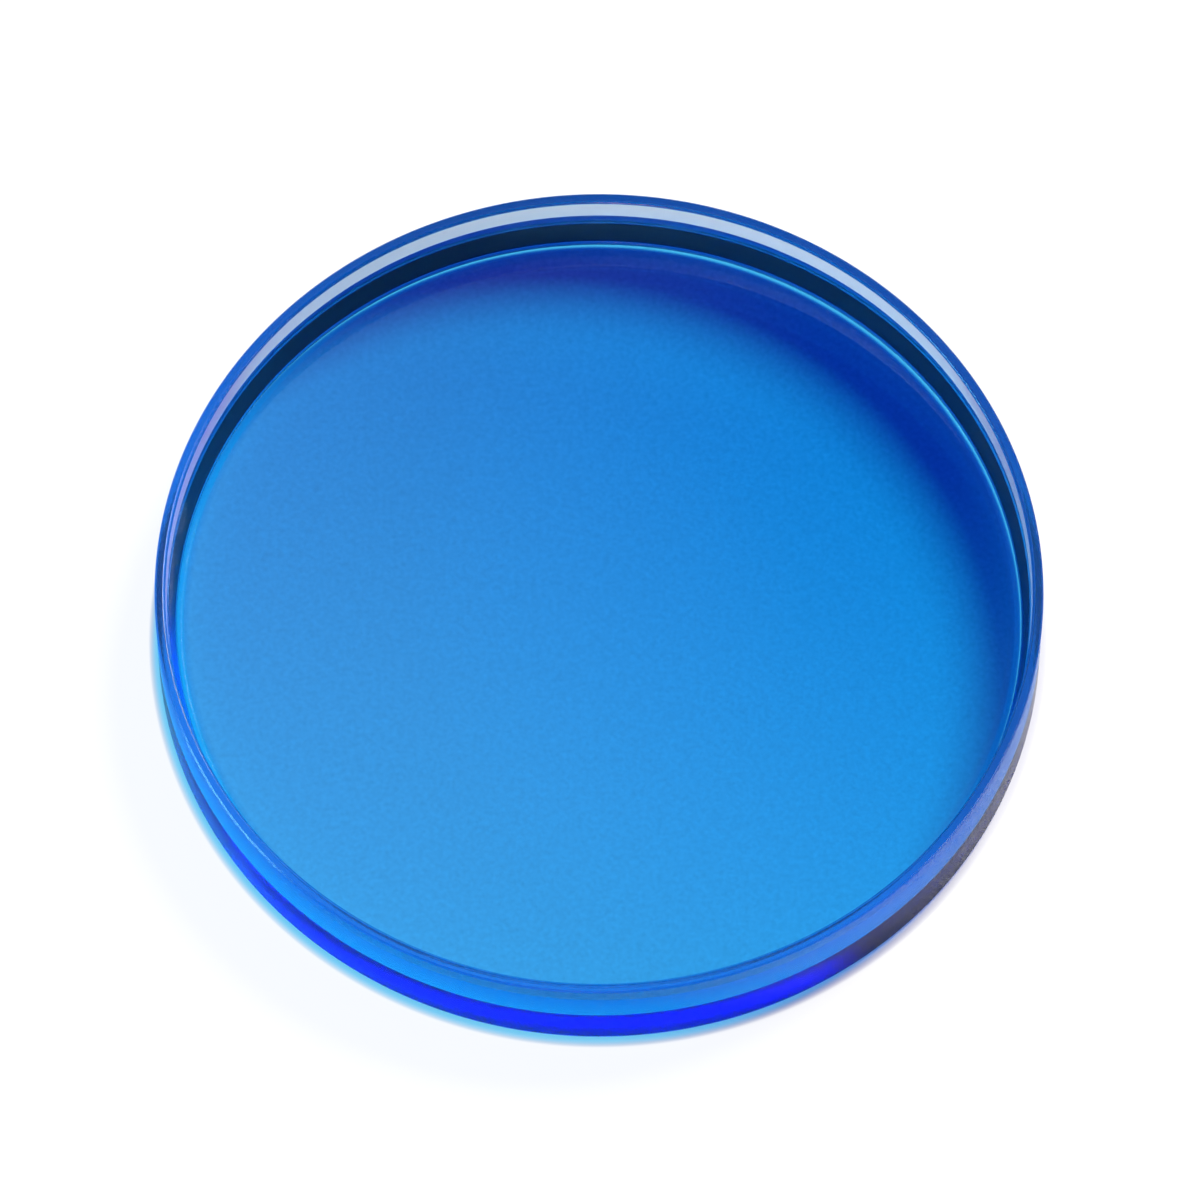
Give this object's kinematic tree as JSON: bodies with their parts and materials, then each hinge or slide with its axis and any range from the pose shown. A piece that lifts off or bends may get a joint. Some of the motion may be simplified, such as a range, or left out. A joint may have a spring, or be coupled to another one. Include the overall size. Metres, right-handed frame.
{
  "type": "optical filter",
  "caption": "Round blue glass optical filter: a flat plate with a thin raised rim, a ground edge and a recessed polished face.",
  "frame": {"origin": "centre of the underside, on the surface that the filter lies on", "axes": "+Z along the optical axis, out of the recessed face; X and Y lie in the plane of the filter"},
  "size_m": [0.05, 0.05, 0.0063],
  "materials": {
    "blue_glass": "moulded blue glass, polished faces, finely ground edge and rim land"
  },
  "bodies": {
    "root": {"filter_glass": "blue_glass"}
  },
  "joints": []
}
